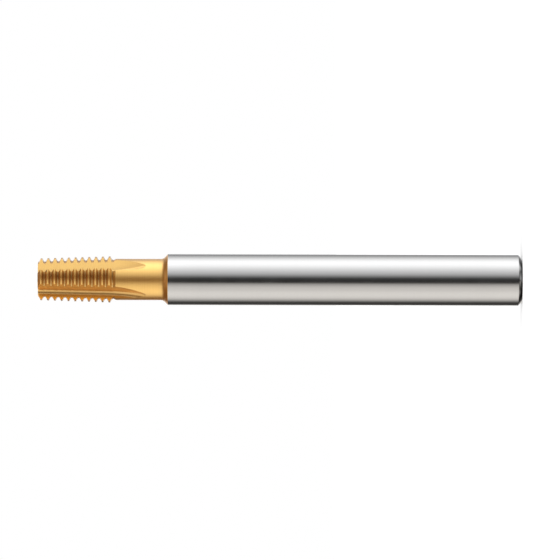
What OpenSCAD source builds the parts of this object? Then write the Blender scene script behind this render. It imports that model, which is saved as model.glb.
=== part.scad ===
// Taper pipe thread mill, ground from one solid carbide blank.
// A plain round shank steps down through a conical shoulder to a neck, and the
// neck carries a tapered cutting head: rings of teeth with no lead, gashed by
// straight flutes into relieved lands. It stands on its shank end, tip up.

/* [Blank] */
// Overall length from the shank end to the cutting tip
overall_len = 95; // [91:0.5:107]
// Diameter of the ground shank
shank_d = 10; // [9.6:0.1:12]
// Length of the shank, chamfer included
shank_len = 69.5; // [64:0.1:69.7]
// Chamfer at the shank end
end_chamfer = 0.75; // [0.2:0.05:1]
// Diameter of the neck between the shank and the teeth
neck_d = 8.1; // [7.9:0.05:8.3]
// Slope of the shoulder cone, from the axis
shoulder_angle = 45; // [30:1:60]
// Fillet where the shoulder runs into the neck
shoulder_fillet_r = 1.1; // [0.3:0.1:1.2]

/* [Teeth] */
// Distance from one ring of teeth to the next, here 19 rings to the inch
pitch = 1.3368; // [0.9:0.01:1.42]
// Rings of teeth
tooth_count = 11; // [6:1:11]
// Length over which the tooth diameter grows by one
taper_ratio = 16; // [14:1:24]
// Diameter over the cutting edges of the ring next to the neck
crest_d = 9.54; // [9.4:0.02:10.2]
// Angle between the two flanks of a tooth
flank_angle = 55; // [55:1:60]
// Width of the flat on each crest
crest_flat = 0.3; // [0.06:0.02:0.36]
// Radius at the bottom of each valley
root_r = 0.27; // [0.2:0.01:0.34]
// Diameter of the flat tip face, inside the bevel that leads the first teeth in
tip_d = 6.6; // [6.2:0.1:6.8]
// Relief of a land behind its cutting edge
relief_angle = 7; // [4:0.5:12]
// Length of the bevel that leads from the last valley up to the neck
bevel_len = 0.6; // [0.4:0.1:1]
// Height of that bevel
bevel_h = 0.3; // [0.2:0.05:0.4]

/* [Flutes] */
// Number of flutes, and of cutting edges
flute_count = 4; // [3:1:4]
// Where the first cutting edge lies, anticlockwise from +X
edge_azimuth = 26.2; // [0:0.2:90]
// Hook of the rake face ahead of the radius
rake_angle = 17; // [8:1:20]
// Angle between the rake face and the heel face
flute_angle = 68; // [60:0.5:72]
// Diameter of the solid core inside the flutes at the tip
core_d = 4.62; // [4.2:0.02:5]
// Radius at the bottom of the flute
nose_r = 0.8; // [0.4:0.05:0.9]
// Distance from the tip to where a flute runs out of the neck
flute_len = 21.3; // [20:0.1:22]
// Radius of the grinding wheel that leaves the run-out
wheel_r = 29; // [25:1:40]
// Lean of the wheel from the cutting edge's own radius
wheel_lean = 27; // [24:0.5:36]

/* [Hidden] */
$fn = 96;

// Reach of the cutters past the metal that they take away
clear = 2;

shank_r = shank_d / 2;
neck_r = neck_d / 2;
thread_len = tooth_count * pitch;

// Slope of the crest line, and the same as an angle
slope = 1 / (2 * taper_ratio);
slope_angle = atan(slope);

// Half angle of a tooth, and the depth that its flanks, flat and valley add up to
half = flank_angle / 2;
tooth_depth = root_r * (1 - sin(half)) + (pitch / 2 - crest_flat / 2 - root_r * cos(half)) / tan(half);

// Radius to the cutting edges at a distance behind the tip
function edge_r(a) = crest_d / 2 + slope * (a - (tooth_count - 0.5) * pitch);
function ray(angle) = [cos(angle), sin(angle)];

// Centre that a land is ground about, square to its middle, with the cutting edge on +X
land_middle = -20;
land_offset = edge_r(0) * tan(relief_angle) / cos(land_middle);
land_centre = land_offset * ray(land_middle + 90);

// Radius of the crests and of the valleys about that centre
function crest_r(a) = norm([edge_r(0), 0] - land_centre) + slope * a;
function valley_r(a) = crest_r(a) - tooth_depth;

// Outline that clears every tooth
outer_r = max(shank_r, crest_d / 2) + clear;

// Height at a distance behind the tip
function up(a) = overall_len - a;

// Angle that one land and one flute take up, and how far past its edge a land's sector runs
sector = 360 / flute_count;
sector_lead = 30;

// Angle by which neighbouring lands lap over inside the core
sector_lap = 4;

// Where the turned outlines start, past the first cutting edge
turn_start = 12;

// Centre of the flute's rounded bottom at the tip: on the core, and touching the rake face
heel_angle = rake_angle + flute_angle;
nose_line = [edge_r(0), 0] + nose_r * ray(rake_angle + 90);
nose_along = nose_line * ray(rake_angle);
nose_back = nose_along - sqrt(pow(nose_along, 2) - nose_line * nose_line + pow(core_d / 2 + nose_r, 2));
nose_centre = nose_line - nose_back * ray(rake_angle);

// The same faces as the wheel carries them: u along its radius, w along its axis
rake_turn = rake_angle - wheel_lean;
heel_turn = heel_angle - wheel_lean;
wheel_centre = wheel_r - nose_r;
flute_reach = 2 * outer_r;

// Climb of the flute's bottom until it clears the neck, and the part of it that the wheel's curve gives
climb_along = nose_centre * ray(wheel_lean);
climb = sqrt(pow(climb_along, 2) - nose_centre * nose_centre + pow(neck_r + nose_r, 2)) - climb_along;
wheel_climb = climb - slope * flute_len;
runout_len = sqrt(wheel_climb * (2 * wheel_r - wheel_climb));
runout_start = flute_len - runout_len;
runout_sweep = 30;

// Shoulder: the cone, then a fillet that ends on the neck
shoulder_drop = shank_r - neck_r - shoulder_fillet_r * (1 - cos(shoulder_angle));
shoulder_top = shank_len + shoulder_drop / tan(shoulder_angle) + shoulder_fillet_r * sin(shoulder_angle);
fillet_centre = [neck_r + shoulder_fillet_r, shoulder_top];

// Points of a circular arc
function arc(centre, r, from, to, steps) =
    [for (i = [0 : steps]) centre + r * ray(from + (to - from) * i / steps)];

// Axial place where a flank from a valley at a meets the crest line, tip side (-1) or neck side (1)
function flank_top(a, side) =
    let (touch_a = a + side * root_r * cos(half), touch_r = valley_r(a) + root_r * (1 - sin(half)))
    (crest_r(0) - touch_r + side * touch_a / tan(half)) / (side / tan(half) - slope);

// One valley of the teeth, from its tip-side flank to its neck-side flank
function valley(a) = arc([valley_r(a) + root_r, up(a)], root_r, 90 + half, 270 - half, 4);

// Two corners of the crest between the valleys at a and at a plus one pitch
function crest(a) = [
    for (top = [flank_top(a, 1), flank_top(a + pitch, -1)]) [crest_r(top), up(top)]
];

// Half outline of the teeth, run on past the tip, with the last flank carried out past the neck
module teeth_outline() {
    last_touch = thread_len + root_r * cos(half);
    last_rise = outer_r - valley_r(thread_len) - root_r * (1 - sin(half));
    polygon(concat(
        [[0, up(thread_len + outer_r)], [0, up(-clear)], [valley_r(0), up(-clear)]],
        arc([valley_r(0) + root_r, up(0)], root_r, 180, 270 - half, 2),
        crest(0),
        [for (i = [1 : tooth_count - 1]) each concat(valley(i * pitch), crest(i * pitch))],
        valley(thread_len),
        [[outer_r, up(last_touch + last_rise * tan(half))], [outer_r, up(thread_len + outer_r)]]
    ));
}

// Half outline of the blank: the bevel up to the neck, open over the teeth, then the bevelled tip
module blank_outline() {
    polygon([
        [0, up(thread_len + bevel_len)],
        [neck_r, up(thread_len + bevel_len)],
        [neck_r - bevel_h, up(thread_len)],
        [outer_r, up(thread_len)],
        [outer_r, up((outer_r - tip_d / 2) * tan(half))],
        [tip_d / 2, up(0)],
        [0, up(0)]
    ]);
}

// Section of the flute about its nose centre: rake face, rounded floor, heel face
function flute_section() = concat(
    [nose_r * ray(rake_turn - 90) + flute_reach * ray(rake_turn)],
    arc([0, 0], nose_r, rake_turn - 90, heel_turn - 270, 6),
    [nose_r * ray(heel_turn + 90) + flute_reach * ray(heel_turn)]
);

// Frame of the wheel where it starts to lift out, with u on X and the tip up
module at_wheel() {
    rotate([0, 0, wheel_lean])
        translate([nose_centre * ray(wheel_lean), nose_centre * ray(wheel_lean + 90), overall_len])
            rotate([0, -slope_angle, 0])
                translate([0, 0, -runout_start])
                    children();
}

// Space that the wheel takes on its straight pass, out through the tip
module gash() {
    at_wheel()
        linear_extrude(height = runout_start + clear)
            polygon(flute_section());
}

// Space that the wheel's own curve takes where it lifts out of the neck
module runout() {
    at_wheel()
        translate([wheel_centre, 0, 0])
            rotate([-90, 0, 180])
                rotate_extrude(angle = runout_sweep)
                    translate([wheel_centre, 0])
                        rotate(180)
                            polygon(flute_section());
}

// Copies of what it holds, one for each flute
module at_each_edge() {
    for (i = [0 : flute_count - 1])
        rotate([0, 0, edge_azimuth + i * sector])
            children();
}

// One relieved land in its own sector, cutting edge on +X, between its own flute and the one behind it
module land() {
    intersection() {
        difference() {
            rotate([0, 0, sector_lead - sector - sector_lap])
                rotate_extrude(angle = sector + sector_lap)
                    blank_outline();
            gash();
            runout();
            rotate([0, 0, -sector]) gash();
            rotate([0, 0, -sector]) runout();
        }
        translate(land_centre)
            rotate_extrude()
                teeth_outline();
    }
}

// Revolves an outline about the tool's axis, starting inside a flute
module turned() {
    rotate([0, 0, edge_azimuth + turn_start])
        rotate_extrude()
            children();
}

// Ground round shank
module shank() {
    turned()
        polygon([
            [0, 0],
            [shank_r - end_chamfer, 0],
            [shank_r, end_chamfer],
            [shank_r, shank_len],
            [0, shank_len]
        ]);
}

// Shoulder and neck, with the ends of the flutes in it
module neck() {
    difference() {
        turned()
            polygon(concat(
                [[0, shank_len], [shank_r, shank_len]],
                arc(fillet_centre, shoulder_fillet_r, 180 + shoulder_angle, 180, 6),
                [[neck_r, up(thread_len + bevel_len)], [0, up(thread_len + bevel_len)]]
            ));
        at_each_edge() runout();
    }
}

// The whole mill: a bare shank, and a coated end that holds the neck and the lands
module thread_mill() {
    color("silver") shank();
    color("goldenrod") {
        neck();
        at_each_edge() land();
    }
}

thread_mill();
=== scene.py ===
from math import cos, pi, radians, sin, sqrt, tan
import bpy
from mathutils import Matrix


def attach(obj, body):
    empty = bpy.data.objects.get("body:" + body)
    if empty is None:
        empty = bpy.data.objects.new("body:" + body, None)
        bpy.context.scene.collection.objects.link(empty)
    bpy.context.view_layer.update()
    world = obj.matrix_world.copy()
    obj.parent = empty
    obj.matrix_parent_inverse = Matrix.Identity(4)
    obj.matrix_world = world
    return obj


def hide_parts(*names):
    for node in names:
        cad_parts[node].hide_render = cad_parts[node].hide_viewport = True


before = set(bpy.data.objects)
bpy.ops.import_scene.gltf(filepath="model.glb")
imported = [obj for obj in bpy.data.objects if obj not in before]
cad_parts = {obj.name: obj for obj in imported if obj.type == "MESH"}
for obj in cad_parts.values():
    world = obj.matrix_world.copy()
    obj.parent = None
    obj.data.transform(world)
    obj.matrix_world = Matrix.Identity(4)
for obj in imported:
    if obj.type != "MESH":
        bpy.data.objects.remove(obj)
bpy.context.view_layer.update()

from types import SimpleNamespace

import bpy
import numpy as np
from bpy.props import FloatProperty, FloatVectorProperty, IntProperty, PointerProperty
from mathutils import Matrix, Vector

bl_info = {
    "name": "Thread Mill",
    "version": (1, 0, 0),
    "blender": (4, 5, 0),
    "location": "3D View > Sidebar > Thread Mill",
    "description": "A coated taper pipe thread mill that stands on its shank end, in a plain studio",
    "category": "Add Mesh",
}

MM = 0.001


def length(name, description, millimetres):
    """A property that holds a length, given in millimetres and kept in metres."""
    return FloatProperty(name=name, description=description, default=millimetres * MM, min=0,
                         unit="LENGTH", precision=5)


def angle(name, description, degrees):
    """A property that holds an angle, given in degrees and kept in radians."""
    return FloatProperty(name=name, description=description, default=radians(degrees), subtype="ANGLE")


def amount(name, description, value):
    """A property that holds a plain number."""
    return FloatProperty(name=name, description=description, default=value)


def colour(name, description, rgb):
    """A property that holds a linear colour."""
    return FloatVectorProperty(name=name, description=description, default=rgb, size=3, min=0, max=1,
                               subtype="COLOR")


class ThreadMillSizes(bpy.types.PropertyGroup):
    """Sizes of the tool: the blank, its teeth and its flutes."""

    overall_len: length("Overall length", "From the shank end to the cutting tip", 95)
    shank_d: length("Shank diameter", "Diameter of the ground shank", 10)
    shank_len: length("Shank length", "Length of the shank, chamfer included", 69.5)
    end_chamfer: length("End chamfer", "Chamfer at the shank end", 0.75)
    neck_d: length("Neck diameter", "Diameter between the shank and the teeth", 8.1)
    shoulder_angle: angle("Shoulder angle", "Slope of the shoulder cone, from the axis", 45)
    shoulder_fillet_r: length("Shoulder fillet", "Fillet where the shoulder runs into the neck", 1.1)
    edge_break: length("Edge break", "Rounding of the turned corners", 0.05)
    pitch: length("Pitch", "Distance from one ring of teeth to the next", 1.3368)
    tooth_count: IntProperty(name="Tooth rings", description="Rings of teeth", default=11, min=1)
    taper_ratio: amount("Taper", "Length over which the tooth diameter grows by one", 16)
    crest_d: length("Crest diameter", "Over the cutting edges of the ring next to the neck", 9.54)
    flank_angle: angle("Flank angle", "Angle between the two flanks of a tooth", 55)
    crest_flat: length("Crest flat", "Width of the flat on each crest", 0.3)
    root_r: length("Root radius", "Radius at the bottom of each valley", 0.27)
    tip_d: length("Tip diameter", "Diameter of the flat tip face", 6.6)
    relief_angle: angle("Relief angle", "Relief of a land behind its cutting edge", 7)
    bevel_len: length("Bevel length", "Bevel from the last valley up to the neck", 0.6)
    bevel_h: length("Bevel height", "Height of that bevel", 0.3)
    flute_count: IntProperty(name="Flutes", description="Number of flutes, and of cutting edges", default=4,
                             min=2)
    edge_azimuth: angle("Edge azimuth", "Where the first cutting edge lies, anticlockwise from +X", 26.2)
    rake_angle: angle("Rake angle", "Hook of the rake face ahead of the radius", 17)
    flute_angle: angle("Flute angle", "Angle between the rake face and the heel face", 68)
    core_d: length("Core diameter", "Solid core inside the flutes at the tip", 4.62)
    nose_r: length("Nose radius", "Radius at the bottom of the flute", 0.8)
    flute_len: length("Flute length", "From the tip to where a flute runs out of the neck", 21.3)
    wheel_r: length("Wheel radius", "Grinding wheel that leaves the run-out", 29)
    wheel_lean: angle("Wheel lean", "Lean of the wheel from the cutting edge's own radius", 27)


class ThreadMillFinish(bpy.types.PropertyGroup):
    """Colours and roughness of the bare shank and of the coated end."""

    coat_colour: colour("Coating", "Nitride coating from the shoulder to the tip", (0.80, 0.545, 0.150))
    coat_deep: colour("Coating, deep", "The coating in its darker grinding lines", (0.72, 0.470, 0.120))
    coat_scatter: colour("Coating, scattered", "Wide dull glow of the coating", (0.125, 0.033, 0.004))
    # Painted shade: a dark tint laid over the coating's colour and dull glow where walls shut it in, as in
    # the valleys.
    coat_painted_shade: colour("Coating, hollow", "Tint of the coating down in the valleys", (0.12, 0.02, 0.14))
    coat_roughness: amount("Coating roughness", "Roughness of the coating", 0.33)
    shank_colour: colour("Shank", "Bare ground carbide", (0.575, 0.570, 0.560))
    shank_deep: colour("Shank, deep", "Bare carbide in its darker grinding lines", (0.535, 0.530, 0.520))
    shank_roughness: amount("Shank roughness", "Roughness of the shank", 0.16)
    line_pitch: length("Grinding line pitch", "Spacing of the grinding lines round the tool", 0.12)


class ThreadMillStage(bpy.types.PropertyGroup):
    """Floor, studio light and camera."""

    floor_colour: colour("Floor", "Pale floor", (0.90, 0.90, 0.90))
    floor_size: length("Floor size", "Side of the floor", 8000)
    view_distance: length("Camera distance", "From the tool's axis to the camera", 1200)
    view_width: length("View width", "Width that the picture spans at the tool", 109.95)
    view_height: length("View height", "Height of the camera over the floor", 47.5)
    view_shift: FloatProperty(name="View shift", description="Camera's shift along X",
                              default=-0.05 * MM, unit="LENGTH", precision=5)
    view_roll: angle("View roll", "Roll of the picture", 0.135)


# Middle of a land, behind its cutting edge: the land's centre is set off square to it.
LAND_MIDDLE = radians(-20)

# Points along each valley, along the bevel and along the fillet.
ARC_POINTS = 9

# Rows of the skin: the longest step along a tooth, the rows close to the tip and how far they go,
# the rows along the run-out and how they crowd towards its end, and the rows along the shank.
ROW_STEP = 0.12 * MM
TIP_ROWS = 19
TIP_ROWS_LEN = 0.9 * MM
RUNOUT_ROWS = 33
RUNOUT_CROWDING = 1.6
SHANK_ROWS = 12

# Columns of the skin on each flat face of a flute, on its floor and on a land.
FACE_COLUMNS = 6
FLOOR_COLUMNS = 17
LAND_COLUMNS = 25

# Decimals of a metre within which points are one, and a length just over that.
WELD_DECIMALS = 8
WELD_GAP = 1e-7

# Halvings that find where a flute leaves the metal.
HALVINGS = 48


def ray(turn):
    """Unit vectors at the given angles: cosine and sine along a new last axis."""
    return np.stack((np.cos(turn), np.sin(turn)), axis=-1)


def derive(s):
    """Every derived length of the tool, with the first cutting edge on +X.

    A land is ground about a centre set off square to its middle, so that its
    radius falls behind the edge. The flute's nose centre lies a nose radius
    clear of the core and of the rake face. The wheel lifts out along a circle,
    and the run-out begins where that circle has to start for it to clear the
    neck at the flute's length.
    """
    f = SimpleNamespace()
    f.slope = 1 / (2 * s.taper_ratio)
    f.half = s.flank_angle / 2
    f.thread_len = s.tooth_count * s.pitch
    f.sector = 2 * pi / s.flute_count
    f.neck_r = s.neck_d / 2
    f.shank_r = s.shank_d / 2
    flank_run = s.pitch / 2 - s.crest_flat / 2 - s.root_r * cos(f.half)
    f.depth = s.root_r * (1 - sin(f.half)) + flank_run / tan(f.half)
    f.edge = s.crest_d / 2 - f.slope * (s.tooth_count - 0.5) * s.pitch
    f.centre = f.edge * tan(s.relief_angle) / cos(LAND_MIDDLE) * ray(LAND_MIDDLE + pi / 2)
    f.crest = np.hypot(*(np.array((f.edge, 0)) - f.centre))
    line = np.array((f.edge, 0)) + s.nose_r * ray(s.rake_angle + pi / 2)
    along = line @ ray(s.rake_angle)
    back = along - sqrt(along ** 2 - line @ line + (s.core_d / 2 + s.nose_r) ** 2)
    f.nose = line - back * ray(s.rake_angle)
    f.rake_turn = s.rake_angle - s.wheel_lean
    f.heel_turn = f.rake_turn + s.flute_angle
    f.wheel_centre = s.wheel_r - s.nose_r
    along = f.nose @ ray(s.wheel_lean)
    climb = sqrt(along ** 2 - f.nose @ f.nose + (f.neck_r + s.nose_r) ** 2) - along
    climb -= f.slope * s.flute_len
    f.runout_start = s.flute_len - sqrt(climb * (2 * s.wheel_r - climb))
    drop = f.shank_r - f.neck_r - s.shoulder_fillet_r * (1 - cos(s.shoulder_angle))
    cone_len = drop / tan(s.shoulder_angle)
    f.shoulder_top = s.shank_len + cone_len + s.shoulder_fillet_r * sin(s.shoulder_angle)
    return f


def tooth_profile(s, f):
    """Distance behind the tip and radius about a land's centre, along the teeth.

    Each valley is an arc of the root radius. Straight flanks at half the flank
    angle leave it and meet the crest line, which climbs at half the taper. The
    last flank is carried on outwards, past the neck.
    """
    valley = (np.arange(s.tooth_count + 1) * s.pitch)[:, None]
    turn = np.linspace(-1, 1, ARC_POINTS)[None] * (pi / 2 - f.half)
    bottom = f.crest + f.slope * valley - f.depth
    arc_a = valley + s.root_r * np.sin(turn)
    arc_r = bottom + s.root_r * (1 - np.cos(turn))
    touch_r = bottom + s.root_r * (1 - sin(f.half))
    tops = []
    for side in (-1, 1):
        touch_a = valley + side * s.root_r * cos(f.half)
        tops.append((f.crest - touch_r + side * touch_a / tan(f.half)) / (side / tan(f.half) - f.slope))
    top_a = np.concatenate(tops, axis=1)
    top_r = f.crest + f.slope * top_a
    a = np.concatenate((top_a[:, :1], arc_a, top_a[:, 1:]), axis=1).ravel()
    r = np.concatenate((top_r[:, :1], arc_r, top_r[:, 1:]), axis=1).ravel()
    reach = 4 * MM
    r[-1] = r[-2] + reach
    a[-1] = a[-2] + reach * tan(f.half)
    return a, r


def fluted_rows(s, f):
    """Rows from the tip to the end of the run-out: distance, tooth radius and turned radius.

    The turned radius is the tip's bevel, which soon rises clear of the teeth,
    then the bevel up to the neck, and the neck. Two rows share the place where
    that second bevel begins.
    """
    profile_a, profile_r = tooth_profile(s, f)
    mids = (profile_a[1:] + profile_a[:-1]) / 2
    tip = np.linspace(0, TIP_ROWS_LEN, TIP_ROWS)
    a = np.concatenate((profile_a, mids[np.diff(profile_a) > ROW_STEP], tip))
    teeth = np.unique(np.round(a[(a >= 0) & (a < f.thread_len - WELD_GAP)], WELD_DECIMALS))
    teeth = np.concatenate((teeth, [f.thread_len]))
    bevel = f.thread_len + np.linspace(0, 1, ARC_POINTS) * s.bevel_len
    near = 1 - np.linspace(0, 1, RUNOUT_ROWS)[1:] ** RUNOUT_CROWDING
    neck = np.sort(s.flute_len - near * (s.flute_len - f.thread_len - s.bevel_len))
    a = np.concatenate((teeth, bevel, neck))
    tooth = np.interp(a, profile_a, profile_r)
    turned = np.concatenate((
        s.tip_d / 2 + teeth / tan(f.half),
        f.neck_r - s.bevel_h * (1 - (bevel - f.thread_len) / s.bevel_len),
        np.full(neck.size, f.neck_r),
    ))
    return a, tooth, turned


def land_radius(f, turn, tooth, turned):
    """Distance from the axis to a land: the smaller of its own circle's and the turned radius.

    The land's circle has its centre off the axis, so the distance along a ray
    is the ray's share of that offset plus the half chord.
    """
    share = ray(turn) @ f.centre
    return np.minimum(share + np.sqrt(share ** 2 - f.centre @ f.centre + tooth ** 2), turned)


def flute_point(s, f, q, a):
    """A point of the flute's section at distance a.

    The rake face lies below q = 0, the floor's arc between 0 and 1, and the
    heel face above 1. The section is shifted outwards by the taper, and past
    the start of the run-out by the wheel: each point moves on a circle about
    the wheel's axis.
    """
    reach = 6 * MM
    start = f.rake_turn - pi / 2
    sweep = f.heel_turn - f.rake_turn - pi
    p = s.nose_r * ray(start + np.clip(q, 0, 1) * sweep)
    p = p + np.maximum(-q, 0)[..., None] * reach * ray(f.rake_turn)
    p = p + np.maximum(q - 1, 0)[..., None] * reach * ray(f.heel_turn)
    on = np.maximum(a - f.runout_start, 0)
    u = f.wheel_centre - np.sqrt((f.wheel_centre - p[..., 0]) ** 2 - on ** 2) + f.slope * a
    return f.nose + u[..., None] * ray(s.wheel_lean) + p[..., 1, None] * ray(s.wheel_lean + pi / 2)


def flute_floor(s, f, a):
    """The q of the floor's nearest point to the axis, straight under the nose centre."""
    on = np.maximum(a - f.runout_start, 0)
    u = f.wheel_centre - np.sqrt(f.wheel_centre ** 2 - on ** 2) + f.slope * a
    c = f.nose + u[:, None] * ray(s.wheel_lean)
    turn = np.arctan2(c[:, 1], c[:, 0]) - pi - s.wheel_lean
    return (turn - (f.rake_turn - pi / 2)) / (f.heel_turn - f.rake_turn - pi)


def flute_crossing(s, f, rows, inner, outer, turn):
    """The q where the flute's section leaves the metal, between a floor point and a far one."""
    a, tooth, turned = rows
    inner = inner.copy()
    outer = np.full(inner.size, float(outer))
    for _ in range(HALVINGS):
        q = (inner + outer) / 2
        p = flute_point(s, f, q, a)
        at = np.arctan2(p[:, 1], p[:, 0]) - turn
        out = np.hypot(p[:, 0], p[:, 1]) > land_radius(f, at, tooth, turned)
        outer = np.where(out, q, outer)
        inner = np.where(out, inner, q)
    return (inner + outer) / 2


def fluted_sections(s, f):
    """Sections of the fluted end: for each flute a land from heel to edge, then the flute."""
    rows = fluted_rows(s, f)
    a, tooth, turned = rows
    floor = flute_floor(s, f, a)
    rake = flute_crossing(s, f, rows, floor, outer=-1, turn=0)
    heel = flute_crossing(s, f, rows, floor, outer=2, turn=f.sector)
    rake[-1] = heel[-1] = floor[-1]
    face = np.linspace(0, 1, FACE_COLUMNS)[None]
    q = np.concatenate((
        np.minimum(rake, 0)[:, None] * (1 - face[:, :-1]),
        np.linspace(0, 1, FLOOR_COLUMNS)[None] * np.ones_like(rake)[:, None],
        1 + np.maximum(heel - 1, 0)[:, None] * face[:, 1:],
    ), axis=1)
    q = np.clip(q, rake[:, None], heel[:, None])
    flute = flute_point(s, f, q, a[:, None])
    edge = np.arctan2(flute[:, 0, 1], flute[:, 0, 0])
    back = np.arctan2(flute[:, -1, 1], flute[:, -1, 0]) - f.sector
    turn = back[:, None] + (edge - back)[:, None] * np.linspace(0, 1, LAND_COLUMNS)[None]
    land = land_radius(f, turn, tooth[:, None], turned[:, None])[..., None] * ray(turn)
    land[:, 0] = flute[:, -1] @ spin(-f.sector)
    land[:, -1] = flute[:, 0]
    quarter = np.concatenate((land, flute[:, 1:-1]), axis=1)
    whole = [quarter @ spin(s.edge_azimuth + i * f.sector) for i in range(s.flute_count)]
    return a, np.concatenate(whole, axis=1)


def spin(turn):
    """Matrix that turns row vectors anticlockwise."""
    return np.array(((cos(turn), sin(turn)), (-sin(turn), cos(turn))))


def plain_rows(s, f):
    """Height and radius of the turned rest, from the fillet down to the middle of the end face.

    Each turned corner is broken by two or three points, set off by shares of
    the edge break.
    """
    e = s.edge_break
    t = np.linspace(0, s.shoulder_angle, ARC_POINTS)
    fillet_z = f.shoulder_top - s.shoulder_fillet_r * np.sin(t)
    fillet_r = f.neck_r + s.shoulder_fillet_r * (1 - np.cos(t))
    shank = np.linspace(1, 0, SHANK_ROWS)[1:-1]
    c = s.end_chamfer
    z = np.concatenate((
        fillet_z,
        [s.shank_len + e * 0.7, s.shank_len + e * 0.2, s.shank_len - e * 0.5],
        c + shank * (s.shank_len - c),
        [c + e, c + e * 0.2, c - e * 0.7],
        [e * 0.7, 0, 0, 0],
    ))
    r = np.concatenate((
        fillet_r,
        [f.shank_r - e * 0.7, f.shank_r - e * 0.15, f.shank_r],
        np.full(shank.size, f.shank_r),
        [f.shank_r, f.shank_r - e * 0.15, f.shank_r - e * 0.7],
        [f.shank_r - c + e * 0.7, f.shank_r - c - e * 0.3, f.shank_r / 2, 0],
    ))
    return z, r


def mill_surface(s):
    """The whole skin, lofted from section to section and welded.

    It gives the points, the triangles, the loop round the tip face, and which
    triangles are coated. Sections run down from the tip. Past the run-out every
    section is a circle, and the flutes' columns close up on their end points,
    where the welding takes out the triangles that have no area. The coating
    ends in the break between the shoulder and the shank.
    """
    f = derive(s)
    if f.runout_start <= 0 or f.shoulder_top > s.overall_len - s.flute_len:
        raise ValueError("the flutes do not fit between the tip and the shoulder")
    a, sections = fluted_sections(s, f)
    z, r = plain_rows(s, f)
    last = sections[-1] / np.hypot(sections[-1, :, 0], sections[-1, :, 1])[:, None]
    plain = r[:, None, None] * last[None]
    height = np.concatenate((s.overall_len - a, z))
    xy = np.concatenate((sections, plain))
    rows, columns = xy.shape[:2]
    level = np.repeat(height[:, None, None], columns, axis=1)
    points = np.concatenate((xy, level), axis=2).reshape(-1, 3)
    j, i = np.meshgrid(np.arange(rows - 1), np.arange(columns), indexing="ij")
    here, beside = j * columns + i, j * columns + (i + 1) % columns
    below, across = here + columns, beside + columns
    triangles = np.stack((here, below, across, here, across, beside), axis=-1).reshape(-1, 3)
    coat_end = s.shank_len - s.edge_break * 0.6
    coated = np.repeat(height[1:] > coat_end, 2 * columns)
    rounded = np.round(points, WELD_DECIMALS)
    _, first, weld = np.unique(rounded, axis=0, return_index=True, return_inverse=True)
    weld = weld.reshape(-1)
    points = points[first]
    triangles = weld[triangles]
    whole = ((triangles[:, 0] != triangles[:, 1]) & (triangles[:, 1] != triangles[:, 2])
             & (triangles[:, 2] != triangles[:, 0]))
    loop = weld[:columns]
    loop = loop[loop != np.roll(loop, 1)]
    return points, triangles[whole], loop, coated[whole]


def add_node(tree, kind, **values):
    """Add a node to a tree, and set its fields and the defaults of its inputs."""
    node = tree.nodes.new(kind)
    for name, value in values.items():
        if hasattr(node, name):
            setattr(node, name, value)
        else:
            node.inputs[name.replace("_", " ")].default_value = value
    return node


def feed(tree, part, socket):
    """Link an output to an input, or set the input's own value."""
    if isinstance(part, bpy.types.NodeSocket):
        tree.links.new(part, socket)
    else:
        socket.default_value = part


def add_math(tree, operation, *parts):
    """Work out the parts with a math node, and give its result."""
    node = add_node(tree, "ShaderNodeMath", operation=operation)
    for part, socket in zip(parts, node.inputs):
        feed(tree, part, socket)
    return node.outputs[0]


def add_range(tree, part, start, end, low=0.0, high=1.0, steps="LINEAR"):
    """Map the span from start to end onto the span from low to high, and give the result."""
    node = add_node(tree, "ShaderNodeMapRange", interpolation_type=steps, From_Min=start, From_Max=end,
                    To_Min=low, To_Max=high)
    feed(tree, part, node.inputs["Value"])
    return node.outputs[0]


def add_mix(tree, factor, first, second, kind="RGBA", blend="MIX"):
    """Mix two colours, or two numbers where the kind is FLOAT, and give the result."""
    node = add_node(tree, "ShaderNodeMix", data_type=kind, blend_type=blend)
    ending = "Color" if kind == "RGBA" else "Float"
    inputs = {item.identifier: item for item in node.inputs}
    feed(tree, factor, inputs["Factor_Float"])
    feed(tree, first, inputs["A_" + ending])
    feed(tree, second, inputs["B_" + ending])
    return {item.identifier: item for item in node.outputs}["Result_" + ending]


def add_ramp(tree, part, stops):
    """Look a value up on a colour ramp, whose stops are position, value and tint."""
    node = add_node(tree, "ShaderNodeValToRGB")
    elements = node.color_ramp.elements
    while len(elements) < len(stops):
        elements.new(0.5)
    for element, (position, value, tint) in zip(elements, stops):
        element.position = position
        element.color = (*(value * share for share in tint), 1)
    feed(tree, part, node.inputs["Fac"])
    return node.outputs["Color"]


def add_curve(tree, part, points):
    """Look a value up on a smooth curve through the points."""
    node = add_node(tree, "ShaderNodeFloatCurve")
    knots = node.mapping.curves[0].points
    while len(knots) < len(points):
        knots.new(0.5, 0.5)
    for knot, point in zip(knots, points):
        knot.location = point
    node.mapping.update()
    feed(tree, part, node.inputs["Value"])
    return node.outputs[0]


WHITE = (1, 1, 1, 1)

# Span in which the noise of the grinding lines mostly lies, and how far it shifts the roughness either way.
NOISE_SPAN = (0.3, 0.7)
ROUGHNESS_SHIFT = 0.15

# Height of the grinding lines on the bare shank and on the coated end.
SHANK_LINES = 0.0004 * MM
COAT_LINES = 0.0008 * MM

# Painted shade in the coating's hollows: how far it looks round itself for walls that shut a spot in, and
# along how many rays.
PAINTED_SHADE_REACH = 1.5 * MM
PAINTED_SHADE_RAYS = 8

# Pale shine that the hard coating lays over its own colour.
COAT_IOR = 1.6
COAT_ROUGHNESS = 0.25

# Steepest turn between two faces that is still shaded smooth.
SMOOTH_ANGLE = radians(28)


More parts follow.
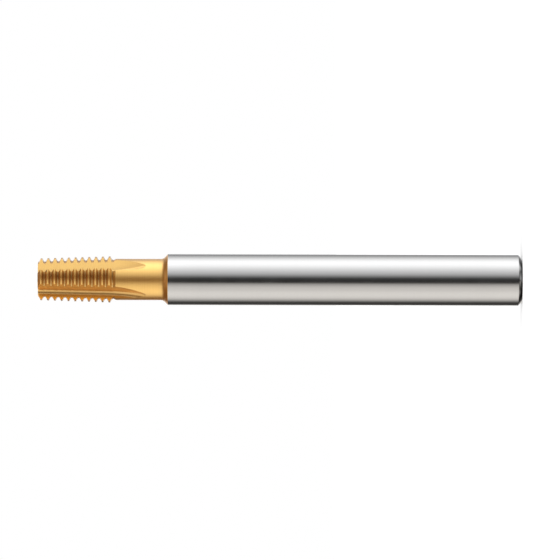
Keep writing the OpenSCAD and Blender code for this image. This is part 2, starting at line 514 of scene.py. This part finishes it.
def grinding_group():
    """Node group: fine lines round the tool, from noise along its axis, and slow patches."""
    tree = bpy.data.node_groups.new("Grinding lines", "ShaderNodeTree")
    tree.interface.new_socket("Pitch", in_out="INPUT", socket_type="NodeSocketFloat")
    tree.interface.new_socket("Lines", in_out="OUTPUT", socket_type="NodeSocketFloat")
    tree.interface.new_socket("Patches", in_out="OUTPUT", socket_type="NodeSocketFloat")
    link = tree.links.new
    start = add_node(tree, "NodeGroupInput")
    end = add_node(tree, "NodeGroupOutput")
    place = add_node(tree, "ShaderNodeTexCoord")
    parts = add_node(tree, "ShaderNodeSeparateXYZ")
    link(place.outputs["Object"], parts.inputs[0])
    count = add_math(tree, "DIVIDE", parts.outputs["Z"], start.outputs["Pitch"])
    lines = add_node(tree, "ShaderNodeTexNoise", noise_dimensions="1D", Scale=1.0, Detail=3.0,
                     Roughness=0.6)
    link(count, lines.inputs["W"])
    patches = add_node(tree, "ShaderNodeTexNoise", Scale=260.0, Detail=2.0, Roughness=0.5)
    link(place.outputs["Object"], patches.inputs["Vector"])
    link(lines.outputs["Fac"], end.inputs["Lines"])
    link(patches.outputs["Fac"], end.inputs["Patches"])
    return tree


def lay_coating(tree, surface, tone, scatter, painted_shade):
    """Lay the hard coating on a ground metal: a pale shine, painted shade that darkens its valleys, and a
    wide dull glow.
    """
    link = tree.links.new
    surface.inputs["Coat Weight"].default_value = 1
    surface.inputs["Coat IOR"].default_value = COAT_IOR
    surface.inputs["Coat Roughness"].default_value = COAT_ROUGHNESS
    # Painted shade: the coating's colour is darkened towards this tint where the ambient occlusion finds
    # walls close by.
    open_share = add_node(tree, "ShaderNodeAmbientOcclusion", samples=PAINTED_SHADE_RAYS, only_local=True,
                          Distance=PAINTED_SHADE_REACH)
    tint = add_mix(tree, open_share.outputs["AO"], (*painted_shade, 1), WHITE)
    link(add_mix(tree, 1, tone, tint, blend="MULTIPLY"), surface.inputs["Base Color"])
    # The dull glow takes the same painted shade.
    glow = add_node(tree, "ShaderNodeBsdfDiffuse")
    link(add_mix(tree, 1, (*scatter, 1), tint, blend="MULTIPLY"), glow.inputs["Color"])
    both = add_node(tree, "ShaderNodeAddShader")
    link(surface.outputs[0], both.inputs[0])
    link(glow.outputs[0], both.inputs[1])
    link(both.outputs[0], tree.nodes["Material Output"].inputs["Surface"])


def metal(name, group, pale, deep, roughness, line_pitch, line_height, scatter=None, painted_shade=None):
    """A ground metal: two near colours mixed by the grinding lines, which also raise a faint bump.

    Slow patches shift its roughness. A scatter and a colour of painted shade for
    the valleys make it a coated metal.
    """
    material = bpy.data.materials.new(name)
    material.use_nodes = True
    tree = material.node_tree
    link = tree.links.new
    surface = tree.nodes["Principled BSDF"]
    surface.inputs["Metallic"].default_value = 1
    lines = add_node(tree, "ShaderNodeGroup", node_tree=group)
    lines.inputs["Pitch"].default_value = line_pitch
    tone = add_mix(tree, add_range(tree, lines.outputs["Lines"], *NOISE_SPAN), (*deep, 1), (*pale, 1))
    link(tone, surface.inputs["Base Color"])
    rough = add_range(tree, lines.outputs["Patches"], *NOISE_SPAN, roughness * (1 - ROUGHNESS_SHIFT),
                      roughness * (1 + ROUGHNESS_SHIFT))
    link(rough, surface.inputs["Roughness"])
    raised = add_node(tree, "ShaderNodeBump", Strength=1.0, Distance=line_height)
    link(lines.outputs["Lines"], raised.inputs["Height"])
    link(raised.outputs[0], surface.inputs["Normal"])
    if scatter is not None:
        lay_coating(tree, surface, tone, scatter, painted_shade)
    return material


class THREADMILL_OT_body(bpy.types.Operator):
    """Build the one-piece tool: fluted teeth, neck, shoulder and shank"""

    bl_idname = "object.thread_mill_body"
    bl_label = "Thread mill"
    bl_options = {"REGISTER", "UNDO"}

    def execute(self, context):
        sizes = context.scene.thread_mill_sizes
        finish = context.scene.thread_mill_finish
        points, triangles, loop, coated = mill_surface(sizes)
        mesh = bpy.data.meshes.new("Thread mill")
        mesh.from_pydata(points.tolist(), [], triangles.tolist() + [loop.tolist()])
        group = grinding_group()
        mesh.materials.append(metal("Bare carbide", group, finish.shank_colour, finish.shank_deep,
                                    finish.shank_roughness, finish.line_pitch, SHANK_LINES))
        # The coating carries painted shade in its valleys and flutes.
        mesh.materials.append(metal("Gold coating", group, finish.coat_colour, finish.coat_deep,
                                    finish.coat_roughness, finish.line_pitch, COAT_LINES,
                                    finish.coat_scatter, finish.coat_painted_shade))
        mesh.polygons.foreach_set("material_index", np.append(coated, True).astype(np.int32))
        mesh.polygons.foreach_set("use_smooth", np.ones(len(mesh.polygons), dtype=bool))
        mesh.set_sharp_from_angle(angle=SMOOTH_ANGLE)
        mesh.update()
        if mesh.validate():
            raise RuntimeError("the surface has faces that cannot be kept")
        piece = bpy.data.objects.new("thread_mill_body", mesh)
        context.scene.collection.objects.link(piece)
        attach(piece, "root")
        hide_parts("thread_mill")
        return {"FINISHED"}


# Brightness of the studio round the tool's axis: degrees from the camera towards +X, and linear value.
STUDIO = (
    (-180, 1.05), (-167, 0.90), (-154, 0.10), (-128, 0.05), (-118, 0.17), (-107, 0.54), (-97, 0.88),
    (-87, 1.10), (-75, 1.20), (-60, 1.17), (-48, 1.02), (-36, 0.94), (-26, 0.72), (-18, 0.46),
    (-14, 0.12), (-9, 0.04), (4, 0.05), (9, 0.12), (15, 0.30), (21, 0.53), (28, 0.75), (36, 0.93),
    (45, 1.13), (55, 1.39), (66, 1.68), (78, 1.86), (90, 1.86), (103, 1.56), (119, 1.02), (140, 0.48),
    (153, 0.34), (166, 0.90),
)

# Linear value that white on the colour ramp stands for.
STUDIO_PEAK = 2.0

# Tints of the light from the two sides: a little cool from +X, a little warm from -X.
STUDIO_ABOVE = (0.99, 1.0, 1.02)
STUDIO_BELOW = (1.0, 0.965, 0.925)

# Share of the studio's brightness left towards the ends of the tool: sine of the angle from its middle
# plane, and share.
STUDIO_ENDS = ((0.0, 1.0), (0.3, 1.0), (0.55, 0.56), (0.8, 0.06), (0.92, 0.08), (1.0, 0.5))

# Light off the pale floor, at the front and sides: its share of that brightness, where it lies by the
# sine of the angle below the middle plane, and the angles from the camera between which it ends.
FLOOR_SHARE = 0.7
FLOOR_BELOW = ((0.3, 0.0), (0.6, 1.0), (0.84, 1.0), (0.93, 0.0))
FLOOR_ROUND = (radians(112), radians(135))

# Even grey light on everything that is not a reflection.
EVEN_LIGHT = (0.62, 0.62, 0.62, 1)

# Soft key light: where it comes from, its strength and how wide it is.
KEY_TOWARDS = (0.0, -0.55, 1.0)
KEY_STRENGTH = 2.5
KEY_SPREAD = radians(110)

# Width of the camera's sensor in millimetres, and how far the camera sees in metres.
SENSOR_WIDTH = 36
SIGHT = 100


def studio_world():
    """World: bands of light round the tool for reflections, even light besides, white to the camera."""
    world = bpy.data.worlds.new("Studio")
    world.use_nodes = True
    tree = world.node_tree
    link = tree.links.new
    tree.nodes.clear()
    place = add_node(tree, "ShaderNodeTexCoord")
    parts = add_node(tree, "ShaderNodeSeparateXYZ")
    link(place.outputs["Generated"], parts.inputs[0])
    turn = add_math(tree, "ARCTAN2", parts.outputs["X"], add_math(tree, "MULTIPLY", parts.outputs["Y"], -1))
    stops = [((degrees + 180) / 360, value / STUDIO_PEAK, STUDIO_BELOW if degrees < 0 else STUDIO_ABOVE)
             for degrees, value in STUDIO]
    bands = add_ramp(tree, add_range(tree, turn, -pi, pi), stops)
    fall = add_curve(tree, add_math(tree, "ABSOLUTE", parts.outputs["Z"]), STUDIO_ENDS)
    down = add_math(tree, "MULTIPLY", parts.outputs["Z"], -1)
    low = add_ramp(tree, down, [(*stop, WHITE[:3]) for stop in FLOOR_BELOW])
    ahead = add_range(tree, add_math(tree, "ABSOLUTE", turn), *FLOOR_ROUND, 1, 0, "SMOOTHSTEP")
    ends = add_mix(tree, add_math(tree, "MULTIPLY", low, ahead), fall, FLOOR_SHARE, kind="FLOAT")
    lit = add_node(tree, "ShaderNodeVectorMath", operation="SCALE")
    link(bands, lit.inputs[0])
    link(add_math(tree, "MULTIPLY", ends, STUDIO_PEAK), lit.inputs["Scale"])
    light = add_node(tree, "ShaderNodeLightPath")
    even = add_mix(tree, light.outputs["Is Diffuse Ray"], lit.outputs[0], EVEN_LIGHT)
    back = add_node(tree, "ShaderNodeBackground", Strength=1.0)
    link(add_mix(tree, light.outputs["Is Camera Ray"], even, WHITE), back.inputs["Color"])
    out = add_node(tree, "ShaderNodeOutputWorld")
    link(back.outputs[0], out.inputs["Surface"])
    return world


def sun(scene, name, towards, strength, spread):
    """A soft sun that shines from the given direction and is not seen in the metal."""
    data = bpy.data.lights.new(name, "SUN")
    data.energy = strength
    data.angle = spread
    lamp = bpy.data.objects.new(name, data)
    lamp.rotation_euler = Vector(towards).to_track_quat("Z", "Y").to_euler()
    lamp.visible_glossy = False
    scene.collection.objects.link(lamp)


class THREADMILL_OT_stage(bpy.types.Operator):
    """Lay the pale floor, light the studio and place the camera"""

    bl_idname = "object.thread_mill_stage"
    bl_label = "Studio"
    bl_options = {"REGISTER", "UNDO"}

    def execute(self, context):
        scene = context.scene
        stage = scene.thread_mill_stage
        half = stage.floor_size / 2
        mesh = bpy.data.meshes.new("Floor")
        corners = [(-half, -half, 0), (half, -half, 0), (half, half, 0), (-half, half, 0)]
        mesh.from_pydata(corners, [], [(0, 1, 2, 3)])
        floor = bpy.data.objects.new("floor", mesh)
        scene.collection.objects.link(floor)
        paint = bpy.data.materials.new("Floor")
        paint.use_nodes = True
        surface = paint.node_tree.nodes["Principled BSDF"]
        surface.inputs["Base Color"].default_value = (*stage.floor_colour, 1)
        surface.inputs["Roughness"].default_value = 1
        surface.inputs["Specular IOR Level"].default_value = 0
        mesh.materials.append(paint)
        floor.visible_glossy = False
        scene.world = studio_world()
        sun(scene, "key_light", KEY_TOWARDS, KEY_STRENGTH, KEY_SPREAD)
        scene.view_settings.view_transform = "Standard"

        camera = bpy.data.cameras.new("Camera")
        camera.sensor_width = SENSOR_WIDTH
        camera.lens = SENSOR_WIDTH * stage.view_distance / stage.view_width
        camera.clip_end = SIGHT
        eye = bpy.data.objects.new("camera", camera)
        scene.collection.objects.link(eye)
        across, upward, behind = Vector((0, 0, -1)), Vector((1, 0, 0)), Vector((0, -1, 0))
        c, k = cos(stage.view_roll), sin(stage.view_roll)
        rows = Matrix((across * c + upward * k, upward * c - across * k, behind))
        place = Vector((stage.view_shift, -stage.view_distance, stage.view_height))
        eye.matrix_world = Matrix.Translation(place) @ rows.transposed().to_4x4()
        scene.camera = eye
        return {"FINISHED"}


class THREADMILL_PT_panel(bpy.types.Panel):
    """Sidebar panel that lists the tool and its studio"""

    bl_label = "Thread Mill"
    bl_idname = "THREADMILL_PT_panel"
    bl_space_type = "VIEW_3D"
    bl_region_type = "UI"
    bl_category = "Thread Mill"

    def draw(self, context):
        self.layout.operator(THREADMILL_OT_body.bl_idname)
        self.layout.operator(THREADMILL_OT_stage.bl_idname)
        for group in (context.scene.thread_mill_sizes, context.scene.thread_mill_finish,
                      context.scene.thread_mill_stage):
            box = self.layout.box()
            for name in group.__annotations__:
                box.prop(group, name)


CLASSES = (ThreadMillSizes, ThreadMillFinish, ThreadMillStage, THREADMILL_OT_body, THREADMILL_OT_stage,
           THREADMILL_PT_panel)


def register():
    for item in CLASSES:
        bpy.utils.register_class(item)
    bpy.types.Scene.thread_mill_sizes = PointerProperty(type=ThreadMillSizes)
    bpy.types.Scene.thread_mill_finish = PointerProperty(type=ThreadMillFinish)
    bpy.types.Scene.thread_mill_stage = PointerProperty(type=ThreadMillStage)


def unregister():
    del bpy.types.Scene.thread_mill_stage
    del bpy.types.Scene.thread_mill_finish
    del bpy.types.Scene.thread_mill_sizes
    for item in reversed(CLASSES):
        bpy.utils.unregister_class(item)


def main():
    register()
    bpy.ops.object.thread_mill_body()
    bpy.ops.object.thread_mill_stage()


if __name__ == "__main__":
    main()
